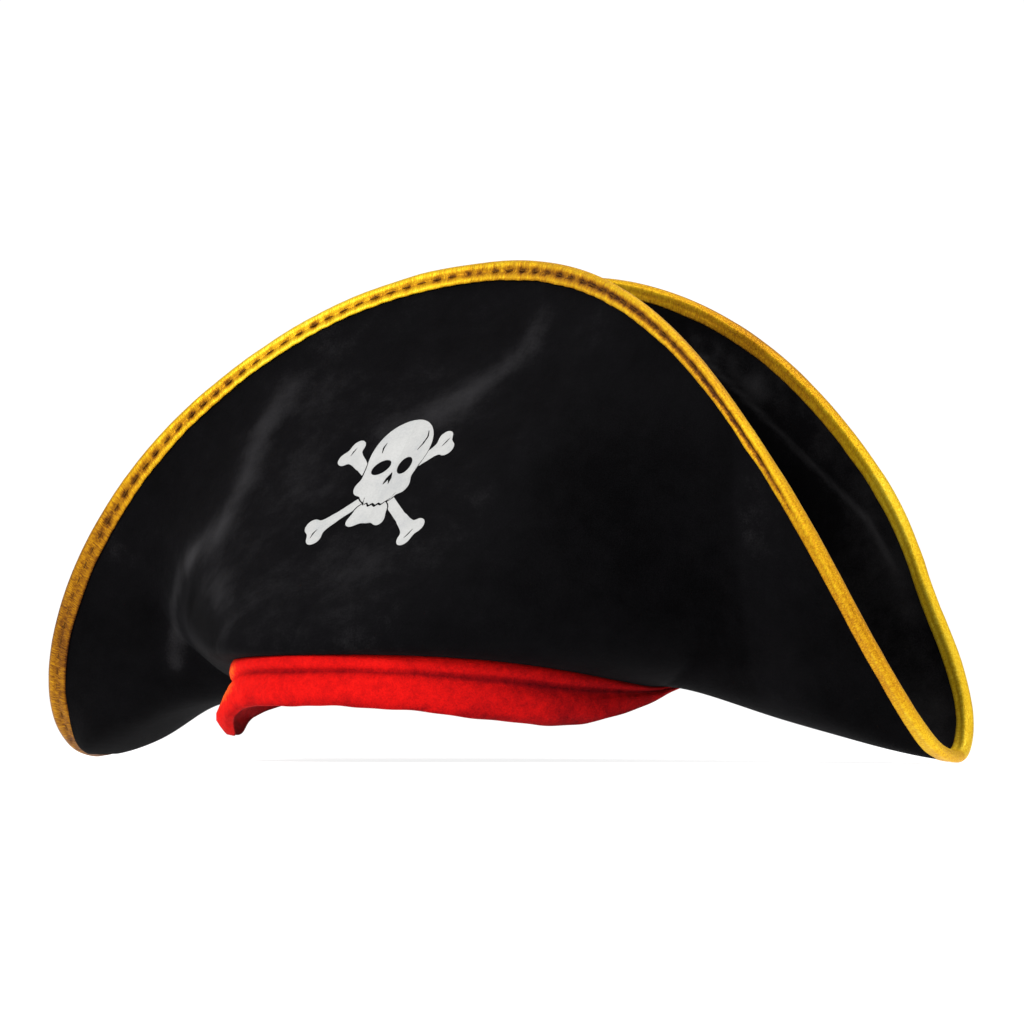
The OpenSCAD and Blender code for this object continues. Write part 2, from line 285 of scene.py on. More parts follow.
# Creases of the flaps, each as X and Z from its top to its foot
LEFT_RIDGE = ((-66, 142), (-77, 107), (-72, 86), (-76, 70), (-90, 63), (-104, 58))
WING_RIDGE = ((-88, 64), (-101, 59), (-119, 42), (-126, 30), (-129, 12))
WING_HOLLOW = ((-92, 46), (-72, 37), (-56, 31), (-40, 23))
# Painted highlight only: this route's fold has no height
CORNER_PAINTED_HIGHLIGHT = ((-66, 52), (-56, 46), (-46, 38), (-30, 29))
TOP_STREAK = ((45, 154), (40, 138), (30, 125), (17, 116), (-4, 108), (-26, 100))
RIGHT_FOLD = ((142, 98), (139, 70), (137, 45), (134, 18))
BACK_CREASE = ((66, 142), (78, 130), (111, 100), (145, 71), (164, 46))
BACK_LIGHTER_STRIP = ((62, 146), (70, 141), (87, 129), (104, 115))

# Creases of the front flap: height and width of the fold, then tone and width of the painted highlight
# along it, painted shade where the tone is below zero
FRONT_CREASES = (
    (LEFT_RIDGE, 1.2, 9, 0.38, 7),
    (WING_RIDGE, 1.0, 8, 0.32, 5),
    (CORNER_PAINTED_HIGHLIGHT, 0, 7, 0.18, 7),
    (WING_HOLLOW, -1.6, 8, -0.45, 7),
    (RIGHT_FOLD, 0.8, 5, 0, 5),
    (TOP_STREAK, 0.6, 9, 0.27, 7),
)


def along_route(p, route, width):
    """1 on a route, fading to 0 beside it and at both its ends."""
    d, t = line_distance(p, route)
    return bell(d, width) * ease(t / 0.15) * ease((1 - t) / 0.15)


def sculpt(p, s, v, side):
    """How far the cloth stands out of the frame's smooth surface, in millimetres."""
    fade = ease(v / 0.25) * ease((1 - np.abs(s)) / 0.12)
    calm = fade * ease((1 - v) / 0.06)
    lift = 0.5 * noise(p, 46, 3) * fade + 0.25 * noise(p, 19, 5) * fade
    if side == FRONT:
        for route, height, width, _, _ in FRONT_CREASES:
            lift = lift + height * along_route(p, route, width) * calm
        lift = lift - 4.0 * bell(p[..., 0], 60) * bell(p[..., 2] - 58, 22) * calm
    else:
        lift = lift + 0.4 * along_route(p, BACK_CREASE, 2.5) * calm * (p[..., 0] > 0)
    return lift


def pressed(s, v, side):
    """Share of its full thickness that the brim keeps: the tape presses it together at the edge."""
    q = 1 - np.abs(s)
    below = (1 - v) * np.linalg.norm(edge_point(q, side) - base_point(q, side), axis=-1)
    return mix(PRESSED, 1, ease((below - 8) / 9))


def surface(s, v, side, depth=0.0):
    """Point of a flap, depth millimetres inside its outer velour."""
    s, v = np.broadcast_arrays(np.asarray(s, float), np.asarray(v, float))
    p = flap_raw(s, v, side)
    n = flap_out(s, v, side)
    return p + n * (sculpt(p, s, v, side) - depth * pressed(s, v, side))[..., None]


# Places where the sewn hat has settled out of its pattern: middle, reach and shift
SETTLED = (
    ((-68, -60, 16), (38, 38, 15), (5.6, 4.1, 0.0)),
    ((-146, 8, -6), (38, 40, 26), (0.0, 0.0, 8.0)),
    ((84, 10, 10), (24, 30, 14), (0.0, 0.0, 1.5)),
    ((165, -10, -10), (34, 50, 24), (0.0, 0.0, 3.2)),
    ((182, 36, 42), (32, 22, 34), (-2.7, -2.0, 0.0)),
    ((-203, 0, -16), (18, 30, 18), (0.0, 0.0, -1.0)),
    ((203, 0, -16), (18, 30, 18), (0.0, 0.0, -1.2)),
)


def settle(points):
    """Moves the points of all the pieces alike, so that they stay clear of each other."""
    moved = points.copy()
    for middle, reach, shift in SETTLED:
        share = np.exp(-np.sum(((points - np.array(middle)) / np.array(reach)) ** 2, axis=-1))
        moved = moved + share[..., None] * np.array(shift)
    return moved


# ==== Mesh builders ====

def add_object(name, data):
    obj = bpy.data.objects.new(name, data)
    bpy.context.scene.collection.objects.link(obj)
    return obj


def make_mesh(name, points, faces):
    mesh = bpy.data.meshes.new(name)
    mesh.from_pydata((settle(np.asarray(points)) * MM).tolist(), [], faces)
    mesh.validate()
    mesh.update()
    mesh.polygons.foreach_set("use_smooth", [True] * len(mesh.polygons))
    return add_object(name, mesh)


def point_tint(obj, name, values):
    """Stores one grey value per point for the material to read."""
    attribute = obj.data.attributes.new(name, "FLOAT_COLOR", "POINT")
    grey = np.asarray(values, np.float32).ravel()
    colours = np.stack([grey, grey, grey, np.ones_like(grey)], axis=-1)
    attribute.data.foreach_set("color", colours.ravel())


def grid_faces(rows, cols, start=0, flip=False, wrap_rows=False, wrap_cols=False):
    i = np.arange(rows if wrap_rows else rows - 1)
    j = np.arange(cols if wrap_cols else cols - 1)
    i, j = (a.ravel() for a in np.meshgrid(i, j, indexing="ij"))
    i2, j2 = (i + 1) % rows, (j + 1) % cols
    quad = np.stack([i * cols + j, i2 * cols + j, i2 * cols + j2, i * cols + j2], axis=-1) + start
    return (quad[:, ::-1] if flip else quad).tolist()


def shell(name, outer, inner, flip=False):
    """Closed thin cloth from two matching grids of points."""
    rows, cols = outer.shape[:2]
    n = rows * cols
    points = np.concatenate([outer.reshape(-1, 3), inner.reshape(-1, 3)])
    faces = grid_faces(rows, cols, 0, flip) + grid_faces(rows, cols, n, not flip)
    rim = (
        list(range(cols - 1))
        + [i * cols + cols - 1 for i in range(rows - 1)]
        + [(rows - 1) * cols + j for j in range(cols - 1, 0, -1)]
        + [i * cols for i in range(rows - 1, 0, -1)]
    )
    for k, a in enumerate(rim):
        b = rim[(k + 1) % len(rim)]
        quad = [a, b, n + b, n + a]
        faces.append(quad[::-1] if flip else quad)
    return make_mesh(name, points, faces)


def tube(name, rings):
    """Closed loop of closed rings."""
    rows, cols = rings.shape[:2]
    faces = grid_faces(rows, cols, 0, False, True, True)
    return make_mesh(name, rings.reshape(-1, 3), faces)


def strip_uv(obj, u, v):
    """Lays point coordinates u and v, in metres, into a UV map."""
    layer = obj.data.uv_layers.new(name="cloth")
    index = np.zeros(len(obj.data.loops), np.int32)
    obj.data.loops.foreach_get("vertex_index", index)
    layer.data.foreach_set("uv", np.stack([u[index], v[index]], axis=-1).astype(np.float32).ravel())


def finish_piece(obj, slot, material, *nodes):
    obj.data.materials.clear()
    obj.data.materials.append(material)
    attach(obj, "root")
    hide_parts(*nodes)


# ==== Materials ====

class Nodes:
    """Short way to write a node material."""

    def __init__(self, name, **settings):
        self.material = bpy.data.materials.new(name)
        self.material.use_nodes = True
        self.tree = self.material.node_tree
        self.shader = self.tree.nodes["Principled BSDF"]
        self.object = self.add("ShaderNodeTexCoord").outputs["Object"]
        self.set(settings)

    def add(self, kind, **values):
        node = self.tree.nodes.new(kind)
        for key, value in values.items():
            setattr(node, key, value)
        return node

    def link(self, source, target):
        self.tree.links.new(source, target)

    def set(self, settings):
        names = {
            "roughness": "Roughness",
            "metallic": "Metallic",
            "sheen": "Sheen Weight",
            "sheen_roughness": "Sheen Roughness",
            "specular": "Specular IOR Level",
        }
        for key, value in settings.items():
            if key == "sheen_tint":
                self.shader.inputs["Sheen Tint"].default_value = (*value, 1)
            else:
                self.shader.inputs[names[key]].default_value = value

    def scaled(self, scale, vector=None):
        node = self.add("ShaderNodeMapping")
        node.inputs["Scale"].default_value = scale
        self.link(vector or self.object, node.inputs["Vector"])
        return node.outputs["Vector"]

    def noise(self, scale, detail=2.0, roughness=0.5, vector=None):
        node = self.add("ShaderNodeTexNoise")
        node.inputs["Scale"].default_value = scale
        node.inputs["Detail"].default_value = detail
        node.inputs["Roughness"].default_value = roughness
        self.link(vector or self.object, node.inputs["Vector"])
        return node.outputs["Fac"]

    def tint(self, name):
        node = self.add("ShaderNodeAttribute", attribute_name=name)
        return node.outputs["Fac"]

    def math(self, operation, a, b=0.5, limit=False):
        node = self.add("ShaderNodeMath", operation=operation, use_clamp=limit)
        for value, socket in ((a, node.inputs[0]), (b, node.inputs[1])):
            if hasattr(value, "is_output"):
                self.link(value, socket)
            else:
                socket.default_value = value
        return node.outputs[0]

    def ramp(self, factor, *stops):
        node = self.add("ShaderNodeValToRGB")
        elements = node.color_ramp.elements
        while len(elements) < len(stops):
            elements.new(0.5)
        for element, (place, colour) in zip(elements, stops):
            element.position = place
            element.color = (*colour, 1)
        self.link(factor, node.inputs["Fac"])
        return node.outputs["Color"]

    def plus(self, total, value, weight, limit=False):
        """Adds a value, times its weight, to a total."""
        return self.math("ADD", total, self.math("MULTIPLY", value, weight), limit)

    def vary(self, total, texture, weight, limit=False):
        """Adds a texture's swing about its middle, times its weight, to a total."""
        return self.plus(total, self.math("SUBTRACT", texture, 0.5), weight, limit)

    def share(self, a, weight_a, b, weight_b):
        return self.plus(self.math("MULTIPLY", a, weight_a), b, weight_b)

    def bands(self, scale, distortion, direction):
        """Fine parallel lines, as in woven or twisted thread."""
        wave = self.add("ShaderNodeTexWave", wave_type="BANDS", bands_direction=direction)
        wave.inputs["Scale"].default_value = scale
        wave.inputs["Distortion"].default_value = distortion
        self.link(self.object, wave.inputs["Vector"])
        return wave.outputs["Fac"]

    def bump(self, height, strength, distance, below=None):
        node = self.add("ShaderNodeBump")
        node.inputs["Strength"].default_value = strength
        node.inputs["Distance"].default_value = distance
        self.link(height, node.inputs["Height"])
        if below is not None:
            self.link(below, node.inputs["Normal"])
        return node.outputs["Normal"]

    def done(self, colour, normal=None):
        self.link(colour, self.shader.inputs["Base Color"])
        if normal is not None:
            self.link(normal, self.shader.inputs["Normal"])
        return self.material


def velour_material():
    m = Nodes("black_velour", roughness=0.8, specular=0.03, sheen=0.018, sheen_roughness=0.35,
              sheen_tint=(0.6, 0.6, 0.68))
    pile = m.noise(1900, 3, 0.7)
    mottled = m.noise(150, 4, 0.65)
    brushed = m.noise(30, 3, 0.5)
    nap_and_painted_light = m.plus(m.tint("nap_and_painted_light"), brushed, 0.3)
    nap_and_painted_light = m.plus(nap_and_painted_light, mottled, 0.26)
    nap_and_painted_light = m.plus(nap_and_painted_light, pile, 0.34, True)
    colour = m.ramp(
        nap_and_painted_light,
        (0.25, (0.0004, 0.0003, 0.0005)),
        (0.55, (0.0032, 0.0030, 0.0036)),
        (1.0, (0.030, 0.029, 0.031)),
    )
    normal = m.bump(pile, 0.6, 0.0004, m.bump(mottled, 0.35, 0.001))
    return m.done(colour, normal)


def felt_material():
    m = Nodes("grey_felt", roughness=0.95, specular=0.1)
    fibres = m.noise(420, 5, 0.75, m.scaled((1, 3.2, 1.6)))
    specks = m.noise(1500, 2, 0.6)
    tone = m.share(fibres, 0.7, specks, 0.3)
    colour = m.ramp(tone, (0.3, (0.05, 0.05, 0.055)), (0.7, (0.16, 0.16, 0.165)))
    return m.done(colour, m.bump(fibres, 0.6, 0.0006))


def gold_material():
    m = Nodes("gold_lame", roughness=0.45, metallic=0.55, specular=0.15)
    uv = m.add("ShaderNodeUVMap", uv_map="cloth").outputs["UV"]
    squeezed = m.scaled((1, 0.8, 1), uv)
    weave = m.noise(2300, 2, 0.6, squeezed)
    crumple = m.noise(800, 4, 0.65, squeezed)
    patches = m.noise(45, 3, 0.6)
    tone = m.vary(m.tint("tone_and_painted_light"), crumple, 0.5)
    tone = m.vary(tone, weave, 0.75)
    tone = m.vary(tone, patches, 0.35, True)
    colour = m.ramp(
        tone,
        (0.0, (0.05, 0.012, 0.001)),
        (0.22, (0.22, 0.075, 0.002)),
        (0.5, (0.58, 0.26, 0.004)),
        (0.75, (0.80, 0.50, 0.010)),
        (1.0, (0.95, 0.72, 0.06)),
    )
    normal = m.bump(weave, 0.45, 0.00025, m.bump(crumple, 0.5, 0.0007))
    return m.done(colour, normal)


def thread_material(name, dark, light):
    m = Nodes(name, roughness=0.6, specular=0.1)
    twist = m.bands(900, 1.5, "DIAGONAL")
    tone = m.share(twist, 0.7, m.noise(2400, 2, 0.6), 0.3)
    colour = m.ramp(tone, (0.15, dark), (0.85, light))
    return m.done(colour, m.bump(twist, 0.5, 0.0002))


def plush_material():
    m = Nodes("red_plush", roughness=0.8, specular=0.03, sheen=0.12, sheen_roughness=0.35,
              sheen_tint=(1.0, 0.05, 0.02))
    pile = m.noise(1500, 4, 0.75)
    tufts = m.noise(360, 3, 0.6)
    patches = m.noise(60, 3, 0.6)
    tone = m.vary(m.tint("tone_and_painted_light"), pile, 0.5)
    tone = m.vary(tone, tufts, 0.4)
    tone = m.vary(tone, patches, 0.25, True)
    colour = m.ramp(
        tone,
        (0.0, (0.07, 0.001, 0.003)),
        (0.3, (0.28, 0.003, 0.005)),
        (0.65, (0.76, 0.007, 0.006)),
        (0.82, (0.90, 0.012, 0.008)),
        (1.0, (0.98, 0.15, 0.018)),
    )
    normal = m.bump(pile, 0.7, 0.0006, m.bump(tufts, 0.5, 0.0012))
    return m.done(colour, normal)


def cotton_material():
    m = Nodes("black_cotton", roughness=0.9, specular=0.15)
    warp, weft = m.bands(420, 0.6, "X"), m.bands(420, 0.6, "Z")
    weave = m.math("MULTIPLY", m.math("ADD", warp, weft), 0.5)
    tone = m.share(weave, 0.6, m.noise(700, 4, 0.7), 0.4)
    colour = m.ramp(tone, (0.2, (0.006, 0.006, 0.007)), (0.9, (0.035, 0.035, 0.038)))
    return m.done(colour, m.bump(weave, 0.5, 0.0003))


def print_material():
    m = Nodes("white_print", roughness=0.6, specular=0.3)
    cloth = m.noise(1300, 3, 0.6)
    stain = m.noise(90, 4, 0.6)
    colour = m.ramp(
        m.share(cloth, 0.45, stain, 0.55),
        (0.3, (0.40, 0.41, 0.42)),
        (0.5, (0.49, 0.49, 0.48)),
        (0.7, (0.55, 0.55, 0.54)),
    )
    return m.done(colour, m.bump(cloth, 0.35, 0.0003))


FLOOR_GLOW = 0.87


def floor_material():
    m = Nodes("pale_floor", roughness=0.9, specular=0.05)
    m.shader.inputs["Emission Color"].default_value = (1, 1, 1, 1)
    m.shader.inputs["Emission Strength"].default_value = FLOOR_GLOW
    shade = m.noise(6, 2, 0.5)
    return m.done(m.ramp(shade, (0.3, (0.45, 0.45, 0.45)), (0.7, (0.49, 0.49, 0.49))))


# ==== Velour, felt and lining of the two flaps ====

def stations(count, lim=1 - TIP_Q):
    """Stations from tip to tip, closer together near the tips."""
    t = np.linspace(-1, 1, count)
    return np.sign(t) * lim * (1 - (1 - np.abs(t)) ** 1.15)


def pile_tone_and_painted_light(p, side, inside):
    """How light the pile looks: random tone on all of it; on the front flap's face, painted highlights
    along its creases and painted shade in its hollow and where it turns from the light; on the back flap's
    inside, a painted highlight along its crease, painted light low on its right and a lighter strip near
    its top.
    """
    x, z = p[..., 0], p[..., 2]
    tone = 0.05 + 0.05 * noise(p, 38, 11) + 0.04 * noise(p, 14, 12) + 0.02 * noise(p, 6, 13)
    patchy = 0.75 + 0.35 * noise(p, 9, 14)
    if side == FRONT and not inside:
        for route, _, _, amount, width in FRONT_CREASES:
            tone += amount * along_route(p, route, width) * (patchy if amount > 0 else 1)
        # A lighter patch over the middle, painted shade on the right, painted highlights beside the right
        # fold and along a wrinkle low on the right, and painted shade low on the wings and over the right
        # side
        tone += 0.07 * bell(x + 15, 60) * bell(z - 70, 45)
        tone -= 0.2 * bell(x - 92, 32) * bell(z - 70, 60)
        tone += 0.13 * ease((x - 136) / 4) * bell(x - 146, 20)
        tone += 0.08 * bell(x - 130, 34) * bell(z - 14, 4)
        tone -= 0.10 * ease((np.abs(x) - 95) / 40) * ease((70 - z) / 50)
        tone -= 0.07 * ease((x - 70) / 60)
    if side == BACK and inside:
        # Painted highlight along the back crease, painted light low on the right, and a lighter strip near
        # the top
        tone += 0.3 * along_route(p, BACK_CREASE, 1.2) * (x > 0)
        tone = tone + 0.03 + 0.14 * ease((x - 110) / 40)
        tone += 0.22 * along_route(p, BACK_LIGHTER_STRIP, 6) * (0.6 + 0.5 * noise(p, 5, 9)) * (x > 0)
    return tone


def flap_layer(name, side, near, far, count_s, count_v, inside):
    s = stations(count_s)[:, None]
    v = (np.linspace(0, 1, count_v) ** 1.25)[None, :]
    outer = surface(s, v, side, near)
    inner = surface(s, v, side, far)
    obj = shell(name, outer, inner, flip=side == BACK)
    tone = pile_tone_and_painted_light(outer, side, inside)
    point_tint(obj, "nap_and_painted_light", np.tile(tone.ravel(), 2))
    return obj


def make_flaps(velour, felt):
    for side, word in ((FRONT, "front"), (BACK, "back")):
        layers = (
            ("face", 0.0, FACE_T - GAP, 281, 101, velour, "black_velour", False),
            ("stiffener", FACE_T, FACE_T + FELT_T - GAP, 141, 51, felt, "grey_felt", False),
            ("lining", FACE_T + FELT_T, BRIM_T, 281, 101, velour, "black_velour", True),
        )
        for kind, near, far, n_s, n_v, material, slot, inside in layers:
            node = f"brim_{word}_{kind}"
            obj = flap_layer(f"{word}_flap_{kind}", side, near, far, n_s, n_v, inside)
            finish_piece(obj, slot, material, node)


# ==== Gold binding, one tape folded over the whole edge ====

TAPE_REACH = 0.93  # v of the point that the tape's way down the cloth is measured to
HIDDEN_ROW = 0.85  # share by which the roll covers the stitch row inside the right of the back flap


def tape_profile():
    """Cross-section of the folded tape: depth from the velour's face, in millimetres, and distance
    below the edge, as a share of the tape's width where it is positive and in millimetres where not."""
    g = GROOVE_AT
    outer = (
        (0.02, 0.88), (-0.2, 0.97), (-0.5, 1.0), (-0.82, 0.96), (-0.95, 0.86), (-0.92, g + 0.27),
        (-0.72, g + 0.16), (-0.42, g + 0.07), (-0.34, g), (-0.42, g - 0.07), (-0.72, g - 0.15),
        (-0.95, g - 0.26), (-0.98, 0.1), (-0.85, 0.01), (-0.35, -0.7), (0.35, -TAPE_CREST),
    )
    far = tuple((EDGE_T - a, b) for a, b in reversed(outer))
    under = ((EDGE_T + 0.02, 0.02), (-0.02, 0.02))
    return np.array(outer + far + under)


def run_along(points):
    """Length of a line of points from its start to each of them."""
    steps = np.linalg.norm(np.diff(points, axis=0), axis=1)
    return np.concatenate([[0], np.cumsum(steps)])


def even_q(side, count):
    """Values of q from 1 at the peak to 0 at the tip, evenly spaced along the edge, and the spacing."""
    q = np.linspace(1, 0, 3000)
    run = run_along(edge_point(q, side))
    return np.interp(np.linspace(0, run[-1], count + 1), run, q), run[-1] / count


def tip_frame():
    """Point, outward step and inward step of the tape where it passes under a tip."""
    out, inward = np.array([0.05, 0, 1.0]), np.array([-1.0, 0, 0.05])
    return edge_point(np.float64(0), FRONT), unit(out), unit(inward)


def tape_width(hand, side, q):
    """Width of the tape on each face: it turns under towards the tips."""
    share = 0.72 + 0 * q
    if side == FRONT and hand < 0:
        share = mix(0.72, 1, ease(q / 0.08)) + 0.25 * bell(q - 0.1, 0.05)
    if side == FRONT and hand > 0:
        share = mix(0.56, 1, ease((q - 0.45) / 0.5)) + 0.16 * ease((0.16 - q) / 0.16)
    return TAPE_W * share


def roll_share(hand, side, q):
    """1 where the tape is one smooth roll, 0 where a sewn groove divides it."""
    if side == BACK:
        return 0.8 + 0 * q
    if hand > 0:
        return ease((0.47 - q) / 0.1)
    return 0.85 * ease((0.52 - q) / 0.16)


def groove_share(hand, side, q):
    """1 where the painted shade of the groove is one dark line, 0 where it shows only at the stitches."""
    if side == FRONT and hand > 0:
        return ease((0.93 - q) / 0.2)
    return 0.15 + 0 * q


def stitch_pinch(top, run):
    """Near 1 where a stitch pulls the tape in, 0 between two stitches."""
    uneven = noise(top, 13, 25)[:, None]
    phase = (run / STITCH_PITCH) % 1.0 - 0.5
    return bell(phase[:, None] + 0.12 * uneven, 0.3) * (0.8 + 0.5 * noise(top, 5, 26)[:, None])


def tape_depth(a, b, width, skin, pinch, roll, open_groove):
    """Depth of the tape's points, with its groove, its roll and its lumps worked in."""
    groove = bell(b - GROOVE_AT * width, 0.17 * width)
    outside = np.maximum(0, np.maximum(-a, a - EDGE_T))
    sign = np.where(a > EDGE_T / 2, 1.0, -1.0)
    lumps = (0.05 * noise(skin, 2.4, 21) + 0.16 * noise(skin, 9, 22)) * (outside > 0.2)
    proud = outside * (1 - 0.22 * pinch * open_groove) + lumps
    proud = proud - 0.25 * groove * pinch * open_groove + 0.6 * groove * roll * (outside > 0.2)
    return np.where(outside > 0, np.clip(a, 0, EDGE_T) + sign * np.maximum(proud, 0.1), a)


def tape_tone(share, skin, pinch, roll, open_groove, line):
    """How light the gold is over the width of the tape: painted highlights on its two ridges, and painted
    shade in its sewn groove, deepest at the stitches, at its lower edge and at the foot of its roll.
    """
    tone = 0.62 + 0.08 * bell(share - 0.12, 0.14) + 0.07 * bell(share - 0.84, 0.1)
    # Painted shade in the sewn groove, deeper where the stitches pull the tape in
    painted_groove_shade = bell(share - GROOVE_AT, 0.21) * (0.85 + 0.4 * noise(skin, 1.6, 27)) * open_groove
    tone = tone - mix(0.12 + 0.62 * pinch, 0.62 + 0.12 * pinch, line) * painted_groove_shade
    tone = tone - 0.12 * bell(share - 1.0, 0.06)
    return tone - 0.12 * roll * bell(share - 0.98, 0.2)


def tape_rings(hand, side, q, run):
    """Rings of the tape on one leg, and the tone of the gold at each point."""
    profile = tape_profile()
    a = np.broadcast_to(profile[:, 0], (len(q), len(profile)))
    share = np.broadcast_to(profile[:, 1], a.shape)
    width = tape_width(hand, side, q)[:, None]
    b = np.where(share > 0, share * width, share)
    s = hand * (1 - np.maximum(q, TIP_Q))
    top = surface(s, 1.0, side)
    out = flap_out(s, 1.0, side)
    down = unit(surface(s, TAPE_REACH, side) - top)
    pinch = stitch_pinch(top, run)
    roll = roll_share(hand, side, q)[:, None]
    hidden = HIDDEN_ROW if side == BACK and hand > 0 else 0.0
    open_groove = (1 - roll) * ((a < 0) + (1 - hidden) * (a > EDGE_T))
    skin = top[:, None, :] + b[..., None] * 1.7
    a2 = tape_depth(a, b, width, skin, pinch, roll, open_groove)
    wander = 0.25 * noise(top, 11, 23)[:, None] + 0.16 * (pinch - 0.4) * (1 - roll)
    b2 = b + wander * ease((share - 0.6) / 0.3)
    ring = top[:, None] + down[:, None] * b2[..., None] - out[:, None] * a2[..., None]
    foot, up, back = tip_frame()
    under = (foot + up * a2[..., None] + back * b2[..., None]) * np.array([hand, 1.0, 1.0])
    ring = under + (ring - under) * clamp(q / TIP_Q)[:, None, None]
    line = groove_share(hand, side, q)[:, None]
    tone = tape_tone(share, skin, pinch, roll, open_groove, line)
    # The last term is painted light on the inside face of the back flap's right leg
    tone = tone + edge_tone_and_painted_light(top, hand, side)[:, None] + 0.03 * hidden * (a > EDGE_T)
    return ring, tone


def edge_tone_and_painted_light(p, hand, side):
    """Slow changes of the gold along the edge: random tone, painted shade low on the left legs and over the
    right front leg, painted highlights at the top left of the front and at the right front tip, and a
    darker, more orange patch and painted light low on the back's right leg.
    """
    x, z = p[..., 0], p[..., 2]
    tone = 0.05 * noise(p, 30, 24)
    if side == FRONT and hand < 0:
        tone = tone - 0.36 * ease((122 - z) / 70) + 0.16 * ease((z - 120) / 40) * ease(-x / 60)
    if side == BACK and hand < 0:
        tone -= 0.36 * ease((34 - z) / 48)
    if side == FRONT and hand > 0:
        tone = tone - 0.06 * ease(x / 60) - 0.10 * ease((60 - z) / 40) + 0.2 * ease((10 - z) / 20)
    if side == BACK and hand > 0:
        tone = tone - 0.16 * bell(x - 92, 30) + 0.16 * ease((110 - z) / 40)
    return tone


def smooth_loop(values, reach):
    """Rounded copy of a closed row of rings."""
    offsets = np.arange(-3 * reach, 3 * reach + 1)
    weights = np.exp(-0.5 * (offsets / reach) ** 2)
    weights = weights / weights.sum()
    return sum(weight * np.roll(values, offset, axis=0) for offset, weight in zip(offsets, weights))


LEGS = ((1, FRONT), (1, BACK), (-1, BACK), (-1, FRONT))
LEG_STEPS = 420
TIP_REACH = 0.16  # q up to which the tape is rounded off towards a tip
TIP_ROUNDING = 6  # rings that the rounding reaches over


def make_binding(gold):
    rings, tones, nearness = [], [], []
    for leg, (hand, side) in enumerate(LEGS):
        q, step = even_q(side, LEG_STEPS)
        run = np.arange(LEG_STEPS + 1) * step
        if leg % 2 == 0:
            q, run = q[:-1], run[:-1]
        else:
            q, run = q[::-1][:-1], run[::-1][:-1]
        ring, tone = tape_rings(hand, side, q, run)
        rings.append(ring)
        tones.append(tone)
        nearness.append(1 - ease(q / TIP_REACH))
    rings, tones = np.concatenate(rings), np.concatenate(tones)
    near = np.concatenate(nearness)[:, None, None]
    rings = mix(rings, smooth_loop(rings, TIP_ROUNDING), near)
    obj = tube("gold_binding", rings)
    point_tint(obj, "tone_and_painted_light", tones)
    along, across = run_along(rings[:, 0]), run_along(tape_profile())
    u, v = np.broadcast_arrays(along[:, None], across[None, :])
    strip_uv(obj, u.ravel() * MM, v.ravel() * MM)
    finish_piece(obj, "gold_lame", gold, "edge_binding")


# ==== Threads ====

def thread_points(a, b, out, radius, sink, rings=6, sides=6):
    """Thread from a to b that dips into the cloth at both ends."""
    t = np.linspace(0, 1, rings)
    path = a + (b - a) * t[:, None] + out * (radius * 0.6 - sink * (2 * t - 1) ** 4)[:, None]
    along = unit(b - a)
    wide = unit(np.cross(out, along))
    angles = np.arange(sides) * 2 * np.pi / sides
    fat = radius * (1 - 0.35 * (2 * t - 1) ** 4)
    across = wide * np.cos(angles)[:, None] + out * np.sin(angles)[:, None]
    return path[:, None, :] + across[None] * fat[:, None, None]


def threads_mesh(name, threads):
    points, faces, start = [], [], 0
    for thread in threads:
        rows, cols = thread.shape[:2]
        points.append(thread.reshape(-1, 3))
        faces += grid_faces(rows, cols, start, False, False, True)
        faces.append([start + j for j in range(cols)])
        faces.append([start + (rows - 1) * cols + j for j in reversed(range(cols))])
        start += rows * cols
    return make_mesh(name, np.concatenate(points), faces)


def right_way_out(obj, thickness=0):
    """Turns every face of a mesh outward. A flat one is first given a thickness in millimetres."""
    mesh = bmesh.new()
    mesh.from_mesh(obj.data)
    bmesh.ops.recalc_face_normals(mesh, faces=mesh.faces)
    if thickness:
        bmesh.ops.solidify(mesh, geom=mesh.faces[:], thickness=thickness * MM)
        bmesh.ops.recalc_face_normals(mesh, faces=mesh.faces)
    mesh.to_mesh(obj.data)
    mesh.free()
    return obj


THREAD_R = 0.26
THREAD_SINK = 0.3
BARE_TIP = 0.06  # q below which the tape has turned under the hat and has no stitch
FULL_ROLL = 0.9  # roll share above which the tape hides its stitches


def stitch(hand, side, mid, ends, roll):
    """One stitch of the binding, as a thread on each face of the tape that shows it."""
    below = GROOVE_AT * float(tape_width(hand, side, mid))
    s = hand * (1 - ends)
    top = surface(s, 1.0, side)
    down = unit(surface(s, TAPE_REACH, side) - top)
    out = flap_out(s, 1.0, side)
    faces = [(out[0], 0)]
    if side == FRONT or hand < 0:
        faces.append((-out[0], EDGE_T))
    threads = []
    for n, depth in faces:
        p = top + down * below - out * depth + n * (0.2 + 0.45 * roll)
        threads.append(thread_points(p[0], p[1], n, THREAD_R, THREAD_SINK))
    return threads


def make_stitching(material):
    threads = []
    for hand, side in LEGS:
        q, step = even_q(side, 4000)
        run = np.arange(len(q)) * step
        count = int(run[-1] / STITCH_PITCH) - 4
        for i in range(1, count):
            centre = (i + 0.5) * STITCH_PITCH
            ends = np.interp([centre - STITCH_LEN / 2, centre + STITCH_LEN / 2], run, q)
            mid = np.interp(centre, run, q)
            roll = float(roll_share(hand, side, mid))
            if mid >= BARE_TIP and roll <= FULL_ROLL:
                threads += stitch(hand, side, mid, ends, roll)
    obj = right_way_out(threads_mesh("binding_thread", threads))
    finish_piece(obj, "gold_thread", material, "binding_stitching")


TACK_SUNK = 3.0
TACK_R = 0.35


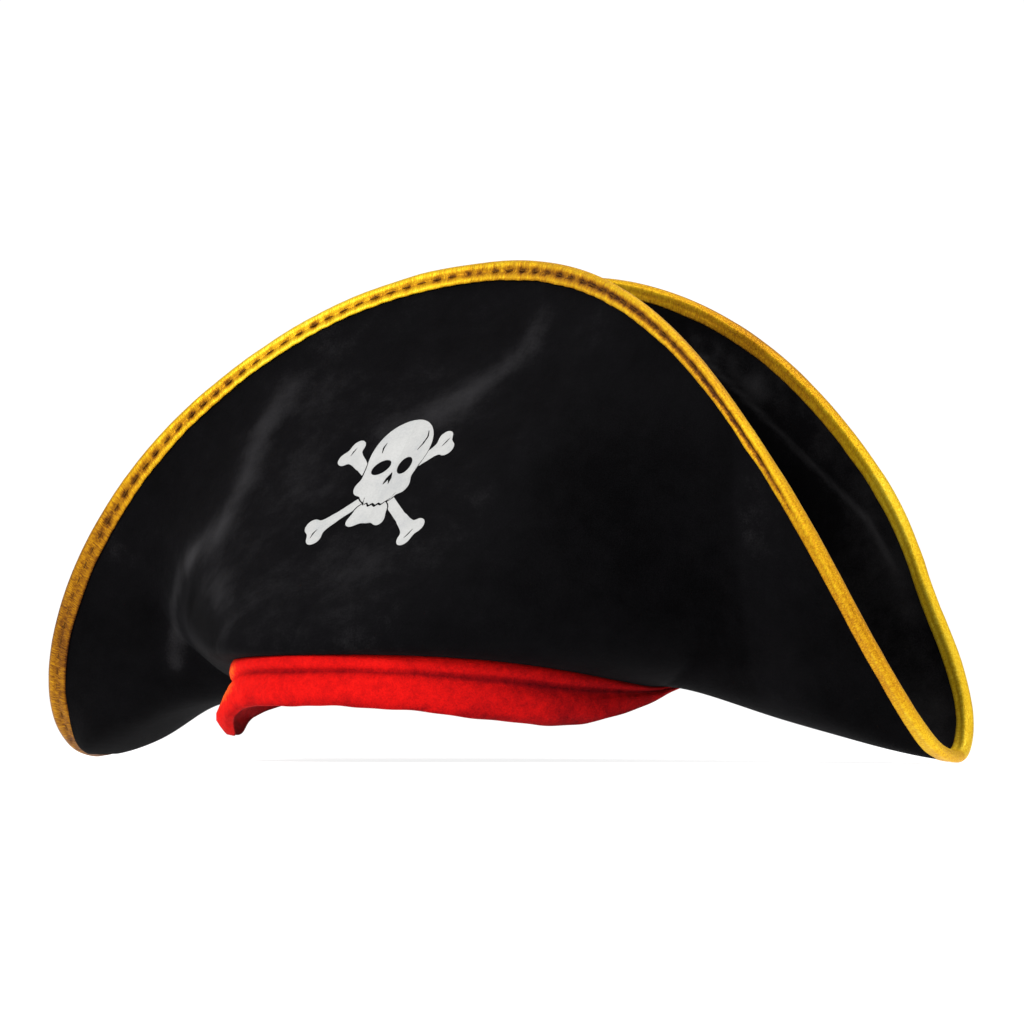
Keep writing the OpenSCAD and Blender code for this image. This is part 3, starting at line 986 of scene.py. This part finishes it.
def make_tacks(material):
    for side, node in ((FRONT, "front_flap_tacks"), (BACK, "back_flap_tacks")):
        low, high = (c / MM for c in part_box(node))
        far_y = low.y + TACK_SUNK if side == FRONT else high.y - TACK_SUNK
        near_y = high.y if side == FRONT else low.y
        threads = []
        for hand in (-1, 1):
            for strand in (-1, 0, 1):
                x = hand * (high.x - 0.8 + 0.45 * strand)
                a = np.array([x, far_y, high.z])
                b = np.array([x + 0.6 * strand * hand, near_y, low.z])
                threads.append(thread_points(a, b, np.array([hand * 1.0, 0, 0]), TACK_R, 0.2, 9))
        obj = right_way_out(threads_mesh(node.replace("_tacks", "_tack_thread"), threads))
        finish_piece(obj, "black_thread", material, node)


# ==== Crown ====

def crown_point(a, v, off, side):
    top = CROWN_H - off
    r = np.maximum(0, 1 - v**CROWN_POWER) ** (1 / CROWN_POWER)
    ra, rb = RIM_A + CROWN_PROUD - off, RIM_B + CROWN_PROUD - off
    return stack(ra * r * cos_d(a), side * rb * r * sin_d(a), mix(seam_z(sin_d(a)), top, v))


def crown_sag(p, v):
    """Soft dents of the unlined crown, all of them inward."""
    dents = 1.1 + 0.9 * noise(p, 34, 31) + 0.45 * noise(p, 15, 32)
    seam = 0.9 * bell(p[..., 1], 1.6) - 0.5 * bell(np.abs(p[..., 1]) - 4.5, 1.8)
    return (np.maximum(0, dents) * ease(v / 0.2) + seam) * ease(v / 0.08)


def crown_layer(side, off):
    a = np.linspace(0, 180, 145)[:, None]
    v = np.minimum(0.9997, 1 - (1 - np.linspace(0, 1, 56)) ** 1.7)[None, :]
    p = crown_point(a, v, off, side)
    centre = np.array([0, 0, 10.0])
    shift = unit(centre - p)
    shift[..., 1] = np.where(np.abs(p[..., 1]) < 0.5, 0, shift[..., 1])
    return p + shift * crown_sag(p, np.broadcast_to(v, p.shape[:-1]))[..., None]


def make_crown(velour):
    for side, word in ((FRONT, "front"), (BACK, "back")):
        outer, inner = crown_layer(side, 0.0), crown_layer(side, CROWN_T)
        obj = right_way_out(shell(f"crown_{word}_cloth", outer, inner))
        tone = 0.1 + 0.06 * noise(outer, 30, 33) + 0.05 * noise(outer, 12, 34)
        point_tint(obj, "nap_and_painted_light", np.tile(tone.ravel(), 2))
        finish_piece(obj, "black_velour", velour, f"crown_{word}_panel")


# ==== Bands around the head opening ====

def turn(angle, centre):
    """Signed difference of two directions in degrees, from -180 to 180."""
    return (angle - centre + 180) % 360 - 180


def oval(off, angle, z):
    """Points off millimetres outside the rim of the head opening."""
    return stack((RIM_A + off) * cos_d(angle)[:, None], (RIM_B + off) * sin_d(angle)[:, None], z)


# Direction in degrees and height of the red band's lower edge
BAND_HEM = (
    (9, 9.6), (20, 13.5), (60, 14.0), (110, 9.5), (150, 6.6), (188, 5.0), (200, 0.0), (212, -6.5),
    (232, -6.5), (242, -1.0), (250, 3.4), (266, 3.6), (283, 3.4), (300, 1.8), (315, -1.0), (329, -3.3),
    (340, -2.8), (349, 0.8), (358, 4.6),
)


def band_low(angle):
    """Height of the red band's lower edge, always below the seam."""
    turns, heights = np.array(BAND_HEM).T
    fine = np.arange(0, 360, 0.5)
    rough = np.interp(fine, turns, heights, period=360)
    low = smooth_loop(rough, 4)
    wavy = 0.15 * np.sin(np.radians(fine * 17)) + 0.08 * np.sin(np.radians(fine * 41 + 30))
    low = np.interp(np.asarray(angle) % 360, fine, low + wavy, period=360)
    return np.minimum(low, seam_z(np.abs(sin_d(angle))) - 1.3)


def band_flare(angle):
    """How far the red band's lower edge swings outward."""
    return 3.8 * bell(turn(angle, 214), 24) + 0.8 * bell(turn(angle, 300), 60)


def band_rings():
    """Rings of the plush band: round lower hem, pinched crease, top tucked under the brim."""
    angle = np.linspace(0, 360, 721)[:-1]
    low, flare = band_low(angle)[:, None], band_flare(angle)[:, None]
    top = seam_z(np.abs(sin_d(angle)))[:, None] - GAP
    t = np.array([0, 0.02, 0.06, 0.13, 0.22, 0.32, 0.42, 0.52, 0.6, 0.67, 0.72, 0.77, 0.83, 0.9, 0.96, 1.0])
    crease_at = 0.70 - 0.10 * bell(turn(angle, 340), 40)[:, None]
    puff = 0.25 + 1.5 * np.sin(np.pi * clamp(t / 0.72)) ** 0.6 * (t < 0.72)
    puff = np.where(t >= 0.72, 0.25 + 1.0 * np.sin(np.pi * clamp((t - 0.7) / 0.3)), puff)
    crease = bell(t[None] - crease_at, 0.05)
    z_out = low + (top - low) * t[None]
    swing = flare * (1 - t[None]) ** 1.2 - 0.8 * np.maximum(0, -z_out)
    out = 3.0 + puff[None] - 0.9 * crease + swing
    out[:, 0] = 1.6 + swing[:, 0]
    out[:, -1] = 2.95
    z_in = z_out[:, ::-1]
    inn = 1.0 + swing[:, ::-1] + 0.25 * np.sin(np.pi * t[::-1])[None]
    off = np.concatenate([out, inn], axis=1)
    p = oval(off, angle, np.concatenate([z_out, z_in], axis=1))
    lumps = 0.35 * noise(p, 7, 41) + 0.22 * noise(p, 2.6, 42) + 0.5 * noise(p, 24, 43)
    calm = np.concatenate([np.sin(np.pi * t) ** 0.5, 0.3 * np.sin(np.pi * t) ** 0.5])[None]
    outward = stack(cos_d(angle), sin_d(angle), 0 * angle)[:, None]
    push = outward * (lumps * calm)[..., None]
    return p + push, angle, np.concatenate([t, t[::-1]])


def make_red_band(plush):
    rings, angle, t = band_rings()
    obj = right_way_out(tube("red_plush_band", rings))
    # Random tone, a painted highlight on the left end with a painted orange highlight spot, and painted
    # shade on the side turned from the light, in the crease, along the lower hem and over the inside face
    tone = 0.605 + 0.05 * noise(rings, 9, 44) + 0.06 * bell(turn(angle, 236), 24)[:, None]
    tone += 0.4 * bell(turn(angle, 237), 10)[:, None] * bell(t[None] - 0.66, 0.35)
    away = turn(angle, 290)
    tone -= 0.26 * (ease(away / 60) * ease((180 - away) / 60))[:, None]
    tone -= 0.32 * bell(t[None] - 0.68, 0.06)
    tone -= 0.2 * bell(t[None], 0.12)
    inside = np.arange(len(t)) >= len(t) // 2
    tone -= 0.35 * inside[None]
    point_tint(obj, "tone_and_painted_light", tone)
    finish_piece(obj, "red_plush", plush, "red_band")


def make_sweatband(cotton):
    angle = np.linspace(0, 360, 361)[:-1]
    top = SWEAT_HIGH.z - SEAM_FRONT + seam_z(np.abs(sin_d(angle)))[:, None]
    low = np.minimum(np.maximum(6.5, band_low(angle)[:, None] + 2.0), top - 0.8)
    t = np.array([0.0, 0.04, 0.12, 0.2, 0.3, 0.5, 0.7, 0.85, 0.95, 1.0])
    hem = 0.12 * bell(t - 0.1, 0.06)
    z = low + (top - low) * t[None]
    inner = 0.18 - hem[None] + 0 * z
    outer = 0.93 + 0 * z
    off = np.concatenate([inner, outer[:, ::-1]], axis=1)
    p = oval(off, angle, np.concatenate([z, z[:, ::-1]], axis=1))
    obj = right_way_out(tube("cotton_sweatband", p))
    finish_piece(obj, "black_cotton", cotton, "sweatband")


# ==== Skull and crossbones print: a plain drawing, cut out of a fine film on the velour ====

def ellipse(x, z, cx, cz, rx, rz, lean=0.0):
    c, s = math.cos(math.radians(lean)), math.sin(math.radians(lean))
    u, w = (x - cx) * c + (z - cz) * s, -(x - cx) * s + (z - cz) * c
    k = np.sqrt((u / rx) ** 2 + (w / rz) ** 2)
    return (k - 1) * min(rx, rz)


def capsule(x, z, ax, az, bx, bz, ra, rb):
    dx, dz = bx - ax, bz - az
    t = clamp(((x - ax) * dx + (z - az) * dz) / (dx * dx + dz * dz))
    return np.hypot(x - ax - t * dx, z - az - t * dz) - mix(ra, rb, t)


def union(*shapes):
    return np.minimum.reduce(shapes)


def soft_union(a, b, k):
    h = clamp(0.5 + 0.5 * (b - a) / k)
    return mix(b, a, h) - k * h * (1 - h)


def stroke(x, z, route, width):
    """Thin pen line along a route, tapered at both ends."""
    lines = []
    legs = len(route) - 1
    for i in range(legs):
        (ax, az), (bx, bz) = route[i], route[i + 1]
        ra = width * math.sin(math.pi * min(0.97, max(0.12, i / legs)))
        rb = width * math.sin(math.pi * min(0.88, max(0.12, (i + 1) / legs)))
        lines.append(capsule(x, z, ax, az, bx, bz, ra, rb))
    return union(*lines)


# Ends of the two bones from the middle of the print, and the height of the skull above it
BONES = (((-22, -19), (21.5, 14)), ((-23.6, 12.9), (26.0, -21.0)))
SKULL_AT = 2.7
FILM_T = 0.1


def bone(x, z, ends):
    """One bone with two knobs at each of its ends."""
    (ax, az), (bx, bz) = ends
    mx, mz = (ax + bx) / 2, (az + bz) / 2
    shape = capsule(x, z, mix(mx, ax, 0.8), mix(mz, az, 0.8), mix(mx, bx, 0.8), mix(mz, bz, 0.8), 1.9, 1.9)
    for ex, ez in ends:
        length = math.hypot(ex - mx, ez - mz)
        ux, uz = (ex - mx) / length, (ez - mz) / length
        cx, cz = ex - ux, ez - uz
        for turned in (-1, 1):
            knob = ellipse(x, z, cx - turned * uz * 2.7, cz + turned * ux * 2.7, 3.1, 2.7)
            shape = soft_union(shape, knob, 2.6)
        start = mix(mx, cx, 0.72), mix(mz, cz, 0.72)
        end = mix(mx, cx, 0.95), mix(mz, cz, 0.95)
        neck = capsule(x, z, *start, *end, 1.7, 2.6)
        shape = soft_union(shape, neck, 1.5)
    return shape


def skull(x, z):
    head = ellipse(x, z, 0.3, 8.6, 13.2, 12.9)
    cheek = ellipse(x, z, 0, -1.0, 11.3, 6.8)
    upper = ellipse(x, z, 0, -7.0, 8.6, 4.6)
    shape = soft_union(soft_union(head, cheek, 3.0), upper, 2.0)
    for hand in (-1, 1):
        shape = soft_union(shape, ellipse(x, z, hand * 9.3, -4.6, 3.4, 3.2), 1.2)
    jaw = ellipse(x, z, 0, -14.2, 7.6, 4.4)
    for hand in (-1, 1):
        jaw = soft_union(jaw, ellipse(x, z, hand * 5.6, -17.2, 3.2, 2.4, hand * -20), 1.6)
    return union(shape, jaw)


def skull_holes(x, z):
    eyes = union(
        ellipse(x, z, -5.5, 3.0, 3.8, 2.7, 24),
        ellipse(x, z, 5.2, 3.2, 3.3, 3.3, -14),
    )
    nose = union(
        stroke(x, z, ((0.4, 0.6), (-0.3, -1.6), (-1.0, -3.6)), 0.7),
        stroke(x, z, ((0.4, 0.6), (0.9, -1.6), (1.3, -3.4)), 0.8),
    )
    teeth = stroke(
        x, z,
        ((-6.0, -8.6), (-5.2, -11.6), (-3.8, -10.8), (-2.8, -12.0), (-1.4, -11.2), (0.0, -12.1),
         (1.4, -11.2), (3.0, -11.8), (4.6, -10.8), (6.4, -9.6), (8.0, -7.4)),
        0.42,
    )
    cracks = union(
        stroke(x, z, ((8.6, 16.6), (9.6, 14.2), (9.0, 11.6), (7.6, 9.0)), 0.45),
        stroke(x, z, ((9.4, 13.0), (8.6, 12.2)), 0.3),
        stroke(x, z, ((-8.4, 12.8), (-8.9, 10.9), (-8.4, 8.8)), 0.4),
    )
    return union(eyes, nose, teeth, cracks)


def bone_marks(x, z):
    marks = []
    for ends in BONES:
        for ex, ez in ends:
            route = ((ex * 0.93 - 0.7, ez - 1.8), (ex * 0.95, ez), (ex * 0.95 + 0.9, ez + 1.6))
            marks.append(stroke(x, z, route, 0.34))
    return union(*marks)


def drawing(x, z):
    """Below zero inside the white of the print. x and z are from the middle of the print."""
    face = skull(x, z - SKULL_AT)
    bones = union(*(bone(x, z, ends) for ends in BONES))
    bones = np.maximum(np.maximum(bones, 0.35 - face), -bone_marks(x, z))
    return np.minimum(np.maximum(face, -skull_holes(x, z - SKULL_AT)), bones)


def cut_film(points, value):
    """Faces of the part of a point grid where value is below zero, cut cleanly along its zero line."""
    rows, cols = value.shape
    corner, crossing, out_points, faces = {}, {}, [], []

    def keep(spot):
        if spot not in corner:
            corner[spot] = len(out_points)
            out_points.append(points[spot])
        return corner[spot]

    def cross(*spots):
        first, last = sorted(spots)
        if (first, last) not in crossing:
            t = value[first] / (value[first] - value[last])
            crossing[first, last] = len(out_points)
            out_points.append(points[first] * (1 - t) + points[last] * t)
        return crossing[first, last]

    for i in range(rows - 1):
        for j in range(cols - 1):
            ring = ((i, j), (i + 1, j), (i + 1, j + 1), (i, j + 1))
            inside = [value[c] < 0 for c in ring]
            if not any(inside):
                continue
            face = []
            for k in range(4):
                a, b = ring[k], ring[(k + 1) % 4]
                if inside[k]:
                    face.append(keep(a))
                if inside[k] != inside[(k + 1) % 4]:
                    face.append(cross(a, b))
            if len(face) >= 3:
                faces.append(face)
    return np.array(out_points), faces


def make_print(material):
    mid_z = (PRINT_LOW.z + PRINT_HIGH.z) / 2
    s = np.linspace(-0.12, 0.12, 220)[:, None]
    v = np.linspace(0.40, 0.76, 230)[None, :]
    points = surface(s, v, FRONT, -0.12)
    value = drawing(points[..., 0], points[..., 2] - mid_z)
    cut, faces = cut_film(points, value)
    obj = right_way_out(make_mesh("skull_transfer", cut, faces), FILM_T)
    finish_piece(obj, "white_print", material, "skull_print")


# ==== Floor, lights and camera ====

# Direction in degrees, distance in metres and lens of the camera, and where it aims in the hat
VIEW_SIDE = 36.3
VIEW_RISE = -4.77
VIEW_AWAY = 1.0
VIEW_LENS = 94.2
AIM_ACROSS = 0.0945
AIM_UP = 0.445
ROOM_LIGHT = 0.45
BACKDROP_LIGHT = 1.05
FLOOR_GAP = 0.0003


def camera_axes():
    a, e = math.radians(VIEW_SIDE), math.radians(VIEW_RISE)
    back = Vector((math.sin(a) * math.cos(e), -math.cos(a) * math.cos(e), math.sin(e)))
    right = Vector((math.cos(a), math.sin(a), 0))
    return right, back.cross(right), back


def view_target():
    """The camera looks a little to the right of the hat's middle, just below half its height."""
    return Vector((AIM_ACROSS * HALF * MM, 0, AIM_UP * PEAK_Z * MM))


def make_camera():
    right, up, back = camera_axes()
    data = bpy.data.cameras.new("camera")
    data.sensor_width = 36
    data.lens = VIEW_LENS
    data.clip_start = 0.01
    data.clip_end = 50
    obj = add_object("camera", data)
    place = Matrix((right, up, back)).transposed().to_4x4()
    place.translation = view_target() + back * VIEW_AWAY
    obj.matrix_world = place
    bpy.context.scene.camera = obj


def make_light(name, place, size, power):
    """Area light aimed at the hat, placed by steps to the camera's right, straight up and back."""
    right, _, back = camera_axes()
    data = bpy.data.lights.new(name, "AREA")
    data.shape = "DISK"
    data.size = size
    data.energy = power
    obj = add_object(name, data)
    target = view_target()
    obj.location = target + right * place[0] + Vector((0, 0, place[1])) + back * place[2]
    obj.rotation_euler = (target - obj.location).to_track_quat("-Z", "Y").to_euler()


def make_floor():
    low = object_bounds()[0].z - FLOOR_GAP
    size = 8.0
    steps = 24
    line = np.linspace(-size, size, steps) / MM
    x, y = np.meshgrid(line, line, indexing="ij")
    points = stack(x, y, np.full_like(x, low / MM)).reshape(-1, 3)
    floor = make_mesh("floor", points, grid_faces(steps, steps))
    floor.data.materials.append(floor_material())


def make_world():
    world = bpy.data.worlds.new("studio")
    world.use_nodes = True
    nodes, links = world.node_tree.nodes, world.node_tree.links
    back = nodes["Background"]
    back.inputs["Color"].default_value = (1, 1, 1, 1)
    path = nodes.new("ShaderNodeLightPath")
    strength = nodes.new("ShaderNodeMapRange")
    strength.inputs["To Min"].default_value = ROOM_LIGHT
    strength.inputs["To Max"].default_value = BACKDROP_LIGHT
    links.new(path.outputs["Is Camera Ray"], strength.inputs["Value"])
    links.new(strength.outputs["Result"], back.inputs["Strength"])
    bpy.context.scene.world = world
    bpy.context.scene.view_settings.view_transform = "Standard"


def make_studio():
    make_world()
    make_camera()
    make_floor()
    make_light("key", (-0.75, 0.75, 0.7), 0.45, 8)
    make_light("top", (0.15, 1.1, 0.1), 0.5, 5)
    make_light("fill", (0.9, 0.45, 0.6), 0.5, 3.6)


def main():
    velour, felt = velour_material(), felt_material()
    make_flaps(velour, felt)
    make_binding(gold_material())
    # The stitches' thread is gold, drawn darker than its own colour: painted shade of the sewn groove it
    # lies in
    make_stitching(thread_material("gold_thread", (0.05, 0.016, 0.002), (0.2, 0.08, 0.004)))
    make_crown(velour)
    make_red_band(plush_material())
    make_sweatband(cotton_material())
    make_print(print_material())
    make_tacks(thread_material("black_thread", (0.003, 0.003, 0.003), (0.03, 0.03, 0.032)))
    make_studio()


main()
